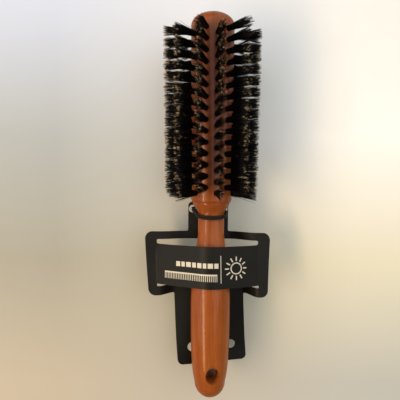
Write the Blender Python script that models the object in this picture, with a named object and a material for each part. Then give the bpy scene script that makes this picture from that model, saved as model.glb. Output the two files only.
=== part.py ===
"""Round barrel hair brush: a turned wooden body with rows of boar bristle, and its hang card.

The brush lies on its bristles with its turning axis along Y, the domed head at +Y and the tail
of the handle at -Y. Z is up and z = 0 is the table. The card hangs under the handle: an elastic
loop holds its stem at the neck, and its middle strip is bowed over the handle.
Everything is drawn about the turning axis, which AXIS then puts in its place, so that the
whole object's box stands centred on the origin.
"""

import math

import bmesh
import bpy
from mathutils import Matrix, Vector

# Turned body
HEAD_END = 0.1183
TAIL_END = -0.1190
HEAD_RADIUS = 0.0132
BARREL_FOOT_RADIUS = 0.01255
DOME_HEIGHT = 0.0072
HEAD_FLAT_RADIUS = 0.0040
BARREL_FOOT = 0.0061
FOOT_ROUNDING = 0.0007
FOOT_ROUNDING_HEIGHT = 0.0018
SCORE_BELOW_FOOT = 0.0008
SCORE_LIP = 0.0002
SCORE_DEPTH = 0.0005
SCORE_WIDTH = 0.0008
NECK_RADIUS = 0.0081
NECK_START = -0.0032
NECK_END = -0.0165
TAIL_ROUND_START = -0.1090
TAIL_ROUND_RADIUS = 0.0097
HANDLE_STATIONS = [
    (NECK_END, NECK_RADIUS),
    (-0.0225, 0.0091),
    (-0.0370, 0.0108),
    (-0.0525, 0.0121),
    (-0.0680, 0.01225),
    (-0.0850, 0.0120),
    (-0.1000, 0.0112),
    (TAIL_ROUND_START, TAIL_ROUND_RADIUS),
]
CONE_TOP_RADIUS = 0.0114
CONE_TOP_BELOW_FOOT = 0.0021
CONE_SWELL = 1.2
BODY_SIDES = 24

# Hanging hole, bored across the handle and rolled a little from upright, with rounded rims
HANG_HOLE_Y = -0.1020
HANG_HOLE_RADIUS = 0.00375
HANG_HOLE_STRAIGHT = 0.0098
HANG_HOLE_RIM_RADIUS = 0.0051
HANG_HOLE_RIM_HEIGHT = 0.0110
HANG_HOLE_MOUTH_RADIUS = 0.0085
HANG_HOLE_MOUTH_HEIGHT = 0.0125
HANG_HOLE_ROLL = math.radians(8.5)
HANG_HOLE_SIDES = 20

# Bristle tufts
ROWS = 12
TUFTS_PER_ROW = 15
TUFT_PITCH = 0.00663
FIRST_TUFT_Y = 0.1063
ROW_ROLL = math.radians(-3.0)
HOLE_DEPTH = 0.0070
HOLE_RADIUS = 0.0018
TUFT_FOOT_DEPTH = 0.0054
TUFT_FOOT_RADIUS = 0.0009
TUFT_TOP_RADIUS = 0.0020
TIP_RADIUS_HEAD = 0.0301
TIP_RADIUS_FOOT = 0.0284
CROWN_THICKNESS = 0.0016
CROWN_WIDTH = 0.0048
CROWN_OVERHANG = 0.0026
ROUND_SIDES = 6

# Flat wire anchor under one tuft of each row
ANCHOR_LENGTH = 0.0020
ANCHOR_THICKNESS = 0.0004
ANCHOR_TOP_DEPTH = 0.0057
ANCHOR_BOTTOM_DEPTH = 0.0067
ANCHORED_TUFT = 7

# Hang card, one sheet. Pairs are for its left and right side.
CARD_THICKNESS = 0.0005
CARD_SHIFT = -0.0016
CARD_SKEW = 0.0039
CARD_UNDER_AXIS = 0.01285
STEM_HALF_WIDTH = 0.0130
STEM_TOP = 0.0039
STEM_CORNER = 0.0030
CROSS_TOP = -0.0154
CROSS_BOTTOM = -0.0562
CROSS_HALF_WIDTH = 0.0402
CROSS_TAPER = 0.0012
CROSS_CORNER = 0.0045
INNER_CORNER = 0.0010
TONGUE_HALF_WIDTH = 0.0228
TONGUE_BOTTOM = -0.1031
TONGUE_CORNER = 0.0035
TONGUE_TWIST = math.radians(13.0)
TONGUE_TWIST_PACE = 1.1
UPPER_BAR_HEIGHT = 0.0050
LOWER_BAR_HEIGHT = 0.0058
UPPER_SLOT_HEIGHT = 0.0027
LOWER_SLOT_HEIGHT = 0.0018
SLOT_HALF_LENGTH = 0.0336
SLOT_CORNER = 0.35
UPPER_WING_LIFT = (0.0040, 0.0080)
LOWER_WING_LIFT = (0.0080, 0.0110)
UPPER_BAR_FLAT_HALF = 0.0130
LOWER_BAR_FLAT_HALF = 0.0226
WING_PULL = (0.0005, 0.0019)
STRIP_RADIUS = 0.0130
STRIP_LEAN = 0.0014
STRIP_TOP = CROSS_TOP - UPPER_BAR_HEIGHT - UPPER_SLOT_HEIGHT
STRIP_BOTTOM = CROSS_BOTTOM + LOWER_BAR_HEIGHT + LOWER_SLOT_HEIGHT
PEG_HOLE_RADIUS = 0.0031
PEG_HOLE_X = 0.01275
PEG_HOLE_Y = -0.0919
ELASTIC_HOLE_RADIUS = 0.0025
ELASTIC_HOLE_X = 0.01015
ELASTIC_HOLE_Y = -0.0009
SHEET_TOLERANCE = 0.00005
BOW_STEP = 0.0022
BAR_BENDS = (0.0130, 0.0165, 0.0200, 0.0226, 0.0255, 0.0285, 0.0310)
TONGUE_BENDS = (-0.065, -0.075, -0.085)

# Elastic loop round the neck, and the sleeve that joins its ends
ELASTIC_RADIUS = 0.0010
ELASTIC_FRONT_Y = -0.0048
ELASTIC_HOLE_EASE = 0.0003
ELASTIC_TURN_BELOW = 0.0008
ELASTIC_TURN_WIDTH = 0.0018
SLEEVE_LENGTH = 0.0060
SLEEVE_OUTER_RADIUS = 0.0019
SLEEVE_INNER_RADIUS = 0.0014
SLEEVE_SIDES = 12
GAP = 0.0003
ELASTIC_BACK = -(CARD_UNDER_AXIS + CARD_THICKNESS / 2 + GAP + SLEEVE_OUTER_RADIUS)

# Where the turning axis stands: over the table by its lowest row, and off the middle by the card
ROW_STEP = 2 * math.pi / ROWS
LOWEST_ROW = ROW_STEP / 2 + ROW_ROLL
AXIS_HEIGHT = TIP_RADIUS_HEAD * math.cos(LOWEST_ROW) + CROWN_WIDTH / 2 * math.sin(LOWEST_ROW)
AXIS_X = 0.0023
AXIS_Y = -(HEAD_END + TAIL_END) / 2
AXIS = Vector((AXIS_X, AXIS_Y, AXIS_HEIGHT))


def clear_scene():
    for old in list(bpy.data.objects):
        bpy.data.objects.remove(old, do_unlink=True)


def make_material(name, colour, roughness, metallic=0.0):
    material = bpy.data.materials.new(name)
    material.use_nodes = True
    shader = material.node_tree.nodes["Principled BSDF"]
    shader.inputs["Base Color"].default_value = (*colour, 1.0)
    shader.inputs["Roughness"].default_value = roughness
    shader.inputs["Metallic"].default_value = metallic
    material.diffuse_color = (*colour, 1.0)
    return material


def add_object(name, bm, material, origin=AXIS):
    """Turns a bmesh drawn about the turning axis into an object whose origin lies on it."""
    bmesh.ops.recalc_face_normals(bm, faces=bm.faces)
    mesh = bpy.data.meshes.new(name)
    bm.to_mesh(mesh)
    bm.free()
    if material:
        mesh.materials.append(material)
    obj = bpy.data.objects.new(name, mesh)
    obj.location = origin
    bpy.context.scene.collection.objects.link(obj)
    return obj


def shade_round(obj, angle=35.0):
    obj.data.shade_smooth()
    obj.data.set_sharp_from_angle(angle=math.radians(angle))


def boolean(obj, other, operation):
    other.hide_render = True
    other.display_type = "WIRE"
    modifier = obj.modifiers.new(operation.title(), "BOOLEAN")
    modifier.operation = operation
    modifier.solver = "EXACT"
    modifier.object = other


def between(value, start, end, at_start, at_end):
    share = min(1.0, max(0.0, (value - start) / (end - start)))
    return at_start + (at_end - at_start) * share


def smooth_step(share):
    share = min(1.0, max(0.0, share))
    return share * share * (3.0 - 2.0 * share)


def barrel_radius(y):
    return between(y, HEAD_END - DOME_HEIGHT, BARREL_FOOT, HEAD_RADIUS, BARREL_FOOT_RADIUS)


def tip_radius(y):
    return between(y, FIRST_TUFT_Y, BARREL_FOOT, TIP_RADIUS_HEAD, TIP_RADIUS_FOOT)


def spline_point(before, start, end, after, share):
    """One point of a Catmull-Rom curve between start and end."""
    bend = 2 * before - 5 * start + 4 * end - after
    twist = 3 * start - before - 3 * end + after
    return start + ((end - before) * share + bend * share ** 2 + twist * share ** 3) / 2


def handle_outline(steps=2):
    """A smooth curve through the handle's stations, from the tail's round end to the neck."""
    stations = [Vector(station) for station in reversed(HANDLE_STATIONS)]
    last = len(stations) - 1
    points = []
    for i in range(last):
        around = [stations[max(i - 1, 0)], stations[i], stations[i + 1], stations[min(i + 2, last)]]
        for step in range(1, steps + 1):
            points.append(tuple(spline_point(*around, step / steps)))
    return points


def tail_outline(steps=5):
    points = []
    for i in range(1, steps + 1):
        angle = math.pi / 2 * i / steps
        y = TAIL_END + (TAIL_ROUND_START - TAIL_END) * (1 - math.cos(angle))
        points.append((y, TAIL_ROUND_RADIUS * math.sin(angle)))
    return points


def cone_outline(steps=5):
    """S-shaped cone from the neck up to the barrel's foot."""
    points = []
    for i in range(steps + 1):
        share = i / steps
        y = NECK_START + (BARREL_FOOT - CONE_TOP_BELOW_FOOT - NECK_START) * share
        radius = NECK_RADIUS + (CONE_TOP_RADIUS - NECK_RADIUS) * smooth_step(share) ** CONE_SWELL
        points.append((y, radius))
    return points


def foot_outline():
    """The barrel's rounded foot, with the fine line scored round it."""
    score = BARREL_FOOT - SCORE_BELOW_FOOT
    return [
        (BARREL_FOOT - FOOT_ROUNDING_HEIGHT, BARREL_FOOT_RADIUS - FOOT_ROUNDING),
        (score - SCORE_WIDTH / 2, BARREL_FOOT_RADIUS - SCORE_LIP),
        (score, BARREL_FOOT_RADIUS - SCORE_DEPTH),
        (score + SCORE_WIDTH / 2, BARREL_FOOT_RADIUS),
    ]


def dome_outline(steps=6):
    points = []
    flat_angle = math.asin(HEAD_FLAT_RADIUS / HEAD_RADIUS)
    for i in range(steps + 1):
        angle = math.pi / 2 + (flat_angle - math.pi / 2) * i / steps
        height = DOME_HEIGHT * math.cos(angle) / math.cos(flat_angle)
        points.append((HEAD_END - DOME_HEIGHT + height, HEAD_RADIUS * math.sin(angle)))
    return points


def ring(bm, y, radius, sides, offset):
    verts = []
    for i in range(sides):
        angle = 2 * math.pi * (i + offset) / sides
        verts.append(bm.verts.new((radius * math.sin(angle), y, radius * math.cos(angle))))
    return verts


def turned_body(material):
    outline = tail_outline() + handle_outline() + cone_outline() + foot_outline() + dome_outline()
    bm = bmesh.new()
    tail_tip = bm.verts.new((0.0, TAIL_END, 0.0))
    rings = [ring(bm, y, radius, BODY_SIDES, 0.5) for y, radius in outline]
    for i in range(BODY_SIDES):
        j = (i + 1) % BODY_SIDES
        bm.faces.new((tail_tip, rings[0][i], rings[0][j]))
        for low, high in zip(rings, rings[1:]):
            bm.faces.new((low[i], high[i], high[j], low[j]))
    bm.faces.new(rings[-1])
    body = add_object("turned_body", bm, material)
    boolean(body, tuft_hole_cutter(), "DIFFERENCE")
    boolean(body, hang_hole_cutter(), "DIFFERENCE")
    shade_round(body)
    return body


def radial_frame(row, y):
    """Places a shape drawn along Z at one tuft: Z points out from the axis, X along the row."""
    angle = ROW_STEP * (row + 0.5) + ROW_ROLL
    out = Vector((math.sin(angle), 0.0, math.cos(angle)))
    along = Vector((0.0, 1.0, 0.0))
    across = out.cross(along)
    turn = Matrix((along, across, out)).transposed().to_4x4()
    return Matrix.Translation((0.0, y, 0.0)) @ turn


def tuft_stations(row):
    """Neighbouring rows are staggered by half a pitch."""
    shift = TUFT_PITCH / 2 if row % 2 == 0 else 0.0
    return [FIRST_TUFT_Y - shift - i * TUFT_PITCH for i in range(TUFTS_PER_ROW)]


def add_radial_cone(bm, row, y, start, end, start_radius, end_radius):
    middle = Matrix.Translation((0.0, 0.0, (start + end) / 2))
    bmesh.ops.create_cone(
        bm, cap_ends=True, cap_tris=False, segments=ROUND_SIDES,
        radius1=start_radius, radius2=end_radius, depth=end - start,
        matrix=radial_frame(row, y) @ middle)


def tuft_hole_cutter():
    bm = bmesh.new()
    for row in range(ROWS):
        for y in tuft_stations(row):
            surface = barrel_radius(y)
            add_radial_cone(bm, row, y, surface - HOLE_DEPTH, surface + 0.002, HOLE_RADIUS, HOLE_RADIUS)
    return add_object("tuft_hole_cutter", bm, None)


def hang_hole_cutter():
    """A drill with a flare above and below, which rounds the hole's rims."""
    upper = [
        (HANG_HOLE_STRAIGHT, HANG_HOLE_RADIUS),
        (HANG_HOLE_RIM_HEIGHT, HANG_HOLE_RIM_RADIUS),
        (HANG_HOLE_MOUTH_HEIGHT, HANG_HOLE_MOUTH_RADIUS),
    ]
    outline = [(-height, radius) for height, radius in reversed(upper)] + upper
    bm = bmesh.new()
    rings = []
    for height, radius in outline:
        loop = circle_loop(0.0, 0.0, radius, HANG_HOLE_SIDES)
        rings.append([bm.verts.new((point.x, point.y, height)) for point in loop])
    for low, high in zip(rings, rings[1:]):
        for i in range(HANG_HOLE_SIDES):
            j = (i + 1) % HANG_HOLE_SIDES
            bm.faces.new((low[i], low[j], high[j], high[i]))
    bm.faces.new(rings[0])
    bm.faces.new(rings[-1])
    place = Matrix.Translation((0.0, HANG_HOLE_Y, 0.0)) @ Matrix.Rotation(HANG_HOLE_ROLL, 4, "Y")
    bmesh.ops.transform(bm, matrix=place, verts=bm.verts)
    return add_object("hang_hole_cutter", bm, None)


def row_stems(row):
    bm = bmesh.new()
    for y in tuft_stations(row):
        foot = barrel_radius(y) - TUFT_FOOT_DEPTH
        top = tip_radius(y) - CROWN_THICKNESS / 2
        add_radial_cone(bm, row, y, foot, top, TUFT_FOOT_RADIUS, TUFT_TOP_RADIUS)
    return add_object("row_stems_%02d" % (row + 1), bm, None)


def bristle_row(row, material):
    """One row of tufts. Its tips merge into a thin crown, so the row is one closed solid."""
    stations = tuft_stations(row)
    first = stations[0] + CROWN_OVERHANG
    last = stations[-1] - CROWN_OVERHANG
    bm = bmesh.new()
    bmesh.ops.create_cube(bm, size=1.0)
    for vert in bm.verts:
        y = first if vert.co.x > 0 else last
        tip = tip_radius(y)
        across = CROWN_WIDTH * vert.co.y
        out = tip if vert.co.z > 0 else tip - CROWN_THICKNESS
        vert.co = radial_frame(row, y) @ Vector((0.0, across, out))
    obj = add_object("bristle_row_%02d" % (row + 1), bm, material)
    boolean(obj, row_stems(row), "UNION")
    return obj


def tuft_anchor(row, material):
    """Flat wire that was driven across a tuft's fold and wedges it in its hole."""
    y = tuft_stations(row)[ANCHORED_TUFT]
    surface = barrel_radius(y)
    middle = surface - (ANCHOR_TOP_DEPTH + ANCHOR_BOTTOM_DEPTH) / 2
    size = Matrix.Diagonal((ANCHOR_LENGTH, ANCHOR_THICKNESS, ANCHOR_BOTTOM_DEPTH - ANCHOR_TOP_DEPTH, 1.0))
    bm = bmesh.new()
    place = radial_frame(row, y) @ Matrix.Translation((0.0, 0.0, middle)) @ size
    bmesh.ops.create_cube(bm, size=1.0, matrix=place)
    return add_object("tuft_anchor_%02d" % (row + 1), bm, material)


def rounded_loop(corners, steps=4):
    """A closed outline from (x, y, corner radius) triples, with each corner as an arc."""
    points = []
    count = len(corners)
    for i in range(count):
        x, y, radius = corners[i]
        corner = Vector((x, y))
        back = (Vector(corners[i - 1][:2]) - corner).normalized()
        ahead = (Vector(corners[(i + 1) % count][:2]) - corner).normalized()
        half = back.angle(ahead) / 2
        centre = corner + (back + ahead).normalized() * radius / math.sin(half)
        start = corner + back * radius / math.tan(half) - centre
        end = corner + ahead * radius / math.tan(half) - centre
        sweep = start.angle_signed(end)
        for k in range(steps + 1):
            turn = Matrix.Rotation(-sweep * k / steps, 2)
            points.append(centre + turn @ start)
    return points


def circle_loop(x, y, radius, sides=12):
    points = []
    for i in range(sides):
        angle = 2 * math.pi * i / sides
        points.append(Vector((x + radius * math.cos(angle), y + radius * math.sin(angle))))
    return points


def card_outline():
    wide = CROSS_HALF_WIDTH + CROSS_TAPER
    narrow = CROSS_HALF_WIDTH - CROSS_TAPER
    right_side = [
        (STEM_HALF_WIDTH, STEM_TOP, STEM_CORNER),
        (STEM_HALF_WIDTH, CROSS_TOP, INNER_CORNER),
        (wide, CROSS_TOP, CROSS_CORNER),
        (narrow, CROSS_BOTTOM, CROSS_CORNER),
        (TONGUE_HALF_WIDTH, CROSS_BOTTOM, INNER_CORNER),
        (TONGUE_HALF_WIDTH, TONGUE_BOTTOM, TONGUE_CORNER),
    ]
    left_side = [(-x, y, radius) for x, y, radius in reversed(right_side)]
    return rounded_loop(right_side + left_side)


def slot_loop(top, height):
    half = SLOT_HALF_LENGTH
    bottom = top - height
    radius = height * SLOT_CORNER
    corners = [(half, top, radius), (half, bottom, radius), (-half, bottom, radius), (-half, top, radius)]
    return rounded_loop(corners, steps=2)


def card_holes():
    loops = [
        slot_loop(CROSS_TOP - UPPER_BAR_HEIGHT, UPPER_SLOT_HEIGHT),
        slot_loop(STRIP_BOTTOM, LOWER_SLOT_HEIGHT),
    ]
    for side in (-1, 1):
        loops.append(circle_loop(side * PEG_HOLE_X, PEG_HOLE_Y, PEG_HOLE_RADIUS))
        loops.append(circle_loop(side * ELASTIC_HOLE_X, ELASTIC_HOLE_Y, ELASTIC_HOLE_RADIUS))
    return loops


def strip_height(reach, wing_x, wing_lift):
    """Height of the bowed strip over the card's plane: round the handle, then straight to a wing."""
    drop = CARD_UNDER_AXIS - wing_lift
    slope = math.asin(STRIP_RADIUS / math.hypot(wing_x, drop)) + math.atan2(drop, wing_x)
    if reach <= STRIP_RADIUS * math.sin(slope):
        return CARD_UNDER_AXIS + math.sqrt(STRIP_RADIUS ** 2 - reach ** 2)
    return wing_lift + max(0.0, wing_x - reach) * math.tan(slope)


def card_offset(y):
    """How far the card's middle line lies beside the turning axis: its lower end swings to the right."""
    down = max(0.0, (CROSS_TOP - y) / (CROSS_TOP - TONGUE_BOTTOM))
    return CARD_SHIFT + CARD_SKEW * down ** 2


def card_place(u, y):
    """Where a point of the flat card, u beside its middle line, lies once the card is bent."""
    side = 1 if u > 0 else 0
    flat_half = between(y, CROSS_BOTTOM, CROSS_TOP, LOWER_BAR_FLAT_HALF, UPPER_BAR_FLAT_HALF)
    lift = between(y, CROSS_BOTTOM, CROSS_TOP, LOWER_WING_LIFT[side], UPPER_WING_LIFT[side])
    raised = smooth_step((abs(u) - flat_half) / (SLOT_HALF_LENGTH - flat_half))
    x = u + math.copysign(WING_PULL[side] * raised, -u) + card_offset(y)
    height = lift * raised
    if STRIP_BOTTOM - SHEET_TOLERANCE < y < STRIP_TOP + SHEET_TOLERANCE and abs(u) < SLOT_HALF_LENGTH:
        wing_x = abs(math.copysign(SLOT_HALF_LENGTH - WING_PULL[side], u) + card_offset(y))
        height = strip_height(abs(x), wing_x, lift)
        y += STRIP_LEAN * (1.0 - smooth_step(abs(x) / wing_x))
    elif y < CROSS_BOTTOM - SHEET_TOLERANCE:
        share = (CROSS_BOTTOM - y) / (CROSS_BOTTOM - TONGUE_BOTTOM)
        height = -u * math.tan(TONGUE_TWIST * smooth_step(share * TONGUE_TWIST_PACE))
    return Vector((x, y, height - CARD_UNDER_AXIS))


def cut_across(bm, positions, direction):
    for position in positions:
        bmesh.ops.bisect_plane(
            bm, geom=bm.verts[:] + bm.edges[:] + bm.faces[:], dist=1e-7,
            plane_co=direction * position, plane_no=direction)


def display_card(material):
    bm = bmesh.new()
    for loop in [card_outline()] + card_holes():
        verts = [bm.verts.new((point.x, point.y, 0.0)) for point in loop]
        for a, b in zip(verts, verts[1:] + verts[:1]):
            bm.edges.new((a, b))
    bmesh.ops.triangle_fill(bm, use_beauty=True, edges=bm.edges[:])
    arch = [BOW_STEP * i - CARD_SHIFT for i in range(-3, 4)]
    bars = [side * x for side in (-1, 1) for x in BAR_BENDS]
    cut_across(bm, arch + bars, Vector((1.0, 0.0, 0.0)))
    cut_across(bm, TONGUE_BENDS, Vector((0.0, 1.0, 0.0)))
    for vert in bm.verts:
        vert.co = card_place(vert.co.x, vert.co.y)
    obj = add_object("display_card", bm, material)
    thick = obj.modifiers.new("Sheet", "SOLIDIFY")
    thick.thickness = CARD_THICKNESS
    thick.offset = 0.0
    thick.use_even_offset = True
    shade_round(obj, 40.0)
    return obj


def elastic_route(steps=4):
    """Closed route: over the neck, down through the stem's two holes and across behind the stem."""
    front = NECK_RADIUS + GAP + ELASTIC_RADIUS
    below = -CARD_UNDER_AXIS
    side = []
    for degrees in (30, 60, 90):
        side.append((front * math.sin(math.radians(degrees)), front * math.cos(math.radians(degrees))))
    side += [
        (ELASTIC_HOLE_X - ELASTIC_HOLE_EASE, below * 0.45),
        (ELASTIC_HOLE_X, below * 0.85),
        (ELASTIC_HOLE_X, below - ELASTIC_TURN_BELOW),
        (ELASTIC_HOLE_X - ELASTIC_TURN_WIDTH, ELASTIC_BACK),
        (SLEEVE_LENGTH / 2, ELASTIC_BACK),
    ]
    knots = []
    for x, z in [(0.0, front)] + side + [(-x, z) for x, z in reversed(side)]:
        down = between(z, front, below, 0.0, 1.0)
        y = ELASTIC_FRONT_Y + (ELASTIC_HOLE_Y - ELASTIC_FRONT_Y) * down
        knots.append(Vector((x + CARD_SHIFT * smooth_step(-z / CARD_UNDER_AXIS), y, z)))
    count = len(knots)
    route = []
    for i in range(count):
        around = [knots[i - 1], knots[i], knots[(i + 1) % count], knots[(i + 2) % count]]
        route += [spline_point(*around, step / steps) for step in range(steps)]
    return route


def elastic_loop(material):
    route = elastic_route()
    curve = bpy.data.curves.new("elastic_loop", "CURVE")
    curve.dimensions = "3D"
    spline = curve.splines.new("POLY")
    spline.points.add(len(route) - 1)
    for point, place in zip(spline.points, route):
        point.co = (*place, 1.0)
    spline.use_cyclic_u = True
    curve.bevel_depth = ELASTIC_RADIUS
    curve.bevel_resolution = 2
    curve.materials.append(material)
    obj = bpy.data.objects.new("elastic_loop", curve)
    obj.location = AXIS
    bpy.context.scene.collection.objects.link(obj)
    return obj


def elastic_sleeve(material):
    """Crimped metal sleeve behind the stem, with the elastic's two ends inside it."""
    bm = bmesh.new()
    rings = []
    for x, radius in (
        (-SLEEVE_LENGTH / 2, SLEEVE_OUTER_RADIUS),
        (SLEEVE_LENGTH / 2, SLEEVE_OUTER_RADIUS),
        (SLEEVE_LENGTH / 2, SLEEVE_INNER_RADIUS),
        (-SLEEVE_LENGTH / 2, SLEEVE_INNER_RADIUS),
    ):
        verts = []
        for i in range(SLEEVE_SIDES):
            angle = 2 * math.pi * i / SLEEVE_SIDES
            y = ELASTIC_HOLE_Y + radius * math.cos(angle)
            verts.append(bm.verts.new((CARD_SHIFT + x, y, ELASTIC_BACK + radius * math.sin(angle))))
        rings.append(verts)
    for a, b in zip(rings, rings[1:] + rings[:1]):
        for i in range(SLEEVE_SIDES):
            j = (i + 1) % SLEEVE_SIDES
            bm.faces.new((a[i], a[j], b[j], b[i]))
    obj = add_object("elastic_sleeve", bm, material)
    shade_round(obj)
    return obj


def build():
    clear_scene()
    wood = make_material("stained_beech", (0.36, 0.10, 0.035), 0.28)
    bristle = make_material("boar_bristle", (0.012, 0.011, 0.010), 0.55)
    wire = make_material("anchor_wire", (0.62, 0.52, 0.30), 0.35, 1.0)
    sheet = make_material("card_sheet", (0.016, 0.015, 0.013), 0.42)
    rubber = make_material("elastic_cord", (0.020, 0.016, 0.012), 0.75)
    metal = make_material("sleeve_metal", (0.70, 0.70, 0.72), 0.30, 1.0)
    turned_body(wood)
    for row in range(ROWS):
        bristle_row(row, bristle)
        tuft_anchor(row, wire)
    display_card(sheet)
    elastic_loop(rubber)
    elastic_sleeve(metal)


build()
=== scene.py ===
"""Round barrel hair brush on its hang card: the looks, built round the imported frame.

The brush lies on its bristles along Y, head at +Y, and the card hangs under the handle.
"""

import math

import bmesh
import bpy
import numpy as np
from mathutils import Matrix, Vector


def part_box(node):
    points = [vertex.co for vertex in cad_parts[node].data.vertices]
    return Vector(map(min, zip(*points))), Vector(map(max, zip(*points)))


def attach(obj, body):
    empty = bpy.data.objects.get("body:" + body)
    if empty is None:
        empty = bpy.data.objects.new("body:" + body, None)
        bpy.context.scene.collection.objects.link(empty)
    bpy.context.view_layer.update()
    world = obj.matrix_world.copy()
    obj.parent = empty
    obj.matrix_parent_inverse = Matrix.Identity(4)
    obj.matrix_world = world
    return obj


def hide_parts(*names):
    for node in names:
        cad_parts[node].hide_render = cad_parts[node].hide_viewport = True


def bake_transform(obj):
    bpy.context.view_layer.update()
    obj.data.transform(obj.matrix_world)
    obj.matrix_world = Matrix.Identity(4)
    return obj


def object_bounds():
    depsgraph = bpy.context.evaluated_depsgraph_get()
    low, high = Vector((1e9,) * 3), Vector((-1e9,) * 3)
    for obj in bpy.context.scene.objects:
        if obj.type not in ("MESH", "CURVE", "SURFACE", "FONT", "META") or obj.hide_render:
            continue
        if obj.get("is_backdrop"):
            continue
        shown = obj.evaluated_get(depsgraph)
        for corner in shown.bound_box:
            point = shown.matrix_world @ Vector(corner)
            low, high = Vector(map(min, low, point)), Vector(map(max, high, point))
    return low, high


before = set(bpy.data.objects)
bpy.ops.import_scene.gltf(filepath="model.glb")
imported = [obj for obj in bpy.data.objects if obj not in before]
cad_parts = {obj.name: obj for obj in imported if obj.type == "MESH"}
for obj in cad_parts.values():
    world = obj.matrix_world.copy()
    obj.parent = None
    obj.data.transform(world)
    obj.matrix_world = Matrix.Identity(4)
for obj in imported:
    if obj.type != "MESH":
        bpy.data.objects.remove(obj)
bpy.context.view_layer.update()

# ---- Turned wooden body --------------------------------------------------------------------
# One piece of beech, turned on a lathe from the domed head to the tail, stained a reddish
# orange and lacquered. Every tuft sits in a blind hole drilled square to the axis, and a
# countersunk hole for hanging it up goes across the tail.
HEAD_END = 0.1183
TAIL_END = -0.1190
body_low, body_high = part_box("turned_body")
body_middle = (body_low + body_high) / 2
AXIS = Vector((body_middle.x, body_high.y - HEAD_END, body_middle.z))
HEAD_RADIUS = 0.0132
BARREL_FOOT_RADIUS = 0.01255
BARREL_FOOT = 0.0061
DOME_HEIGHT = 0.0072
SCORE_DEPTH = 0.00045
SCORE_Y = BARREL_FOOT - 0.0008
# (y beyond the middle of the score line, depth under the barrel's foot)
SCORE_PROFILE = [
    (-0.00100, 0.00060),
    (-0.00035, 0.00020),
    (-0.00015, SCORE_DEPTH),
    (0.00015, SCORE_DEPTH),
    (0.00040, 0.0),
]
CONE_TOP_RADIUS = 0.0114
CONE_TOP = BARREL_FOOT - 0.0021
CONE_SWELL = 1.2
NECK_RADIUS = 0.0081
NECK_START = -0.0032
NECK_END = -0.0165
TAIL_ROUND_START = -0.1090
TAIL_ROUND_RADIUS = 0.0097
HANDLE_STATIONS = [
    (NECK_END, NECK_RADIUS),
    (-0.0225, 0.0091),
    (-0.0370, 0.0108),
    (-0.0525, 0.0121),
    (-0.0680, 0.01225),
    (-0.0850, 0.0120),
    (-0.1000, 0.0112),
    (TAIL_ROUND_START, TAIL_ROUND_RADIUS),
]
AXIS_POINT_RADIUS = 0.00002
BODY_SIDES = 96
ROUND_STEPS = 24
HANDLE_STEPS = 14
CONE_STEPS = 24
BARREL_STEPS = 40
WOOD_EDGE_ANGLE = math.radians(32)
HANG_HOLE_Y = -0.1020
HANG_HOLE_RADIUS = 0.0041
HANG_HOLE_STRETCH = 1.2  # times longer along the handle than across it
HANG_HOLE_ROLL = math.radians(8.5)
HANG_HOLE_SIDES = 64
# (height over the axis, how much wider the hole is there)
HANG_HOLE_FLARE = [
    (0.0093, 0.0),
    (0.0098, 0.00010),
    (0.0102, 0.00028),
    (0.0106, 0.00060),
    (0.0109, 0.00100),
    (0.0111, 0.00140),
    (0.0113, 0.00200),
    (0.0115, 0.00300),
    (0.0125, 0.00800),
]
ROWS = 12
TUFTS_PER_ROW = 15
TUFT_PITCH = 0.00663
FIRST_TUFT_Y = 0.1063
ROW_ROLL = math.radians(-3.0)
TUFT_HOLE_RADIUS = 0.00165
TUFT_HOLE_DEPTH = 0.0025  # only as deep as can be seen past the hairs
TUFT_HOLE_SIDES = 14
DRILL_CLEARANCE = 0.001
WOOD_DARK = (0.205, 0.048, 0.0095)
WOOD_LIGHT = (0.322, 0.084, 0.0165)
WOOD_GRAIN = (0.140, 0.026, 0.0040)
WOOD_FLECK = (0.070, 0.015, 0.0030)
WOOD_MOTTLE = (0.355, 0.100, 0.0170)
# painted shade: multiplies the wood's colour on the barrel, where the tufts shade it, dimmer and bluer
BARREL_PAINTED_SHADE = (0.52, 0.50, 0.62)
PAINTED_SHADE_FADE = 0.02
PAINTED_SHADE_END = FIRST_TUFT_Y - 0.002


def between(value, start, end, at_start, at_end):
    share = min(1.0, max(0.0, (value - start) / (end - start)))
    return at_start + (at_end - at_start) * share


def smooth_step(share):
    share = min(1.0, max(0.0, share))
    return share * share * (3.0 - 2.0 * share)


def spline_point(before, start, end, after, share):
    bend = 2 * before - 5 * start + 4 * end - after
    twist = 3 * start - before - 3 * end + after
    return start + ((end - before) * share + bend * share ** 2 + twist * share ** 3) / 2


def barrel_radius(y):
    return between(y, HEAD_END - DOME_HEIGHT, BARREL_FOOT, HEAD_RADIUS, BARREL_FOOT_RADIUS)


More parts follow.
